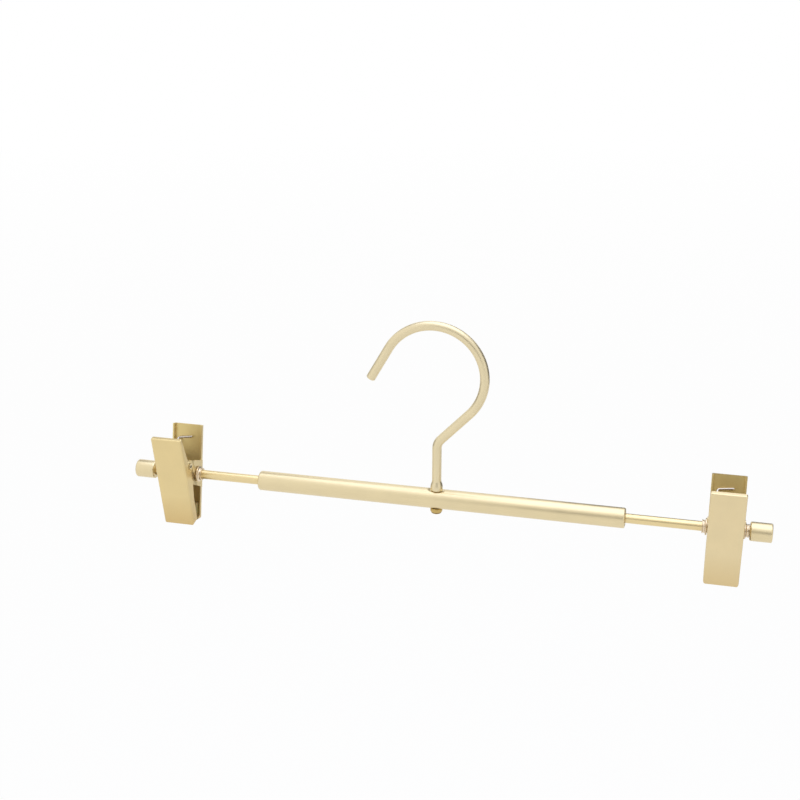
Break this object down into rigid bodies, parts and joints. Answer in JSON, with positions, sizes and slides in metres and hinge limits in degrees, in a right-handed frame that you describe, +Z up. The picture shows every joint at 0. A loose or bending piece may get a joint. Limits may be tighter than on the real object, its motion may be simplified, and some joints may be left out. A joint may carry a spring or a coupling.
{
  "type": "skirt hanger",
  "caption": "Metal skirt hanger: a swivelling wire hook on a thick tube, with thin rods that carry sprung sheet metal clips.",
  "frame": {"origin": "point inside the hook that rests on the rail, straight above the stem", "axes": "+X along the bar towards the right clip, +Y away from the pinch levers, +Z up the stem"},
  "size_m": [0.325, 0.0301, 0.1184],
  "materials": {
    "champagne": "satin champagne plating on steel",
    "champagne_jaw": "satin champagne plating on pressed sheet steel",
    "warm_gold": "satin brass",
    "pale_plated": "bright pale plating",
    "bare_steel": "bright spring wire",
    "soft_pad": "matte clear vinyl, tinted by the metal behind it"
  },
  "bodies": {
    "hook": {"hook_wire": "champagne", "stem_washer": "warm_gold"},
    "bar": {"centre_tube": "champagne", "left_tube_plug": "champagne", "right_tube_plug": "champagne", "left_rod": "champagne", "right_rod": "champagne", "left_knob": "champagne", "right_knob": "champagne"},
    "left_runner": {"left_sleeve": "pale_plated"},
    "left_clip": {"left_rear_jaw": "champagne_jaw", "left_rear_pad": "soft_pad", "left_pivot_pin": "champagne_jaw", "left_spring": "bare_steel"},
    "left_lever": {"left_front_jaw": "champagne_jaw", "left_front_pad": "soft_pad"},
    "right_runner": {"right_sleeve": "pale_plated"},
    "right_clip": {"right_rear_jaw": "champagne_jaw", "right_rear_pad": "soft_pad", "right_pivot_pin": "champagne_jaw", "right_spring": "bare_steel"},
    "right_lever": {"right_front_jaw": "champagne_jaw", "right_front_pad": "soft_pad"}
  },
  "joints": [
    {"name": "hook_swivel", "type": "hinge", "parent": "hook", "child": "bar", "pos_m": [0, 0, -0.08722], "axis": [0, 0, 1], "continuous": true},
    {"name": "left_slide", "type": "slide", "parent": "bar", "child": "left_runner", "axis": [1, 0, 0], "range_m": [-0.0039, 0.0319]},
    {"name": "left_swing", "type": "hinge", "parent": "left_runner", "child": "left_clip", "pos_m": [-0.1369, 0, -0.08722], "axis": [1, 0, 0], "continuous": true},
    {"name": "left_grip", "type": "hinge", "parent": "left_clip", "child": "left_lever", "pos_m": [-0.1369, -0.00902, -0.07958], "axis": [-1, 0, 0], "range_deg": [0, 26], "stiffness_Nm_per_rad": 0.17, "springref_deg": -40.11, "deforming": ["left_spring"]},
    {"name": "right_slide", "type": "slide", "parent": "bar", "child": "right_runner", "axis": [-1, 0, 0], "range_m": [0, 0.0358]},
    {"name": "right_swing", "type": "hinge", "parent": "right_runner", "child": "right_clip", "pos_m": [0.1408, 0, -0.08722], "axis": [1, 0, 0], "continuous": true},
    {"name": "right_grip", "type": "hinge", "parent": "right_clip", "child": "right_lever", "pos_m": [0.1408, -0.00902, -0.07958], "axis": [-1, 0, 0], "range_deg": [0, 26], "stiffness_Nm_per_rad": 0.17, "springref_deg": -40.11, "deforming": ["right_spring"]}
  ]
}
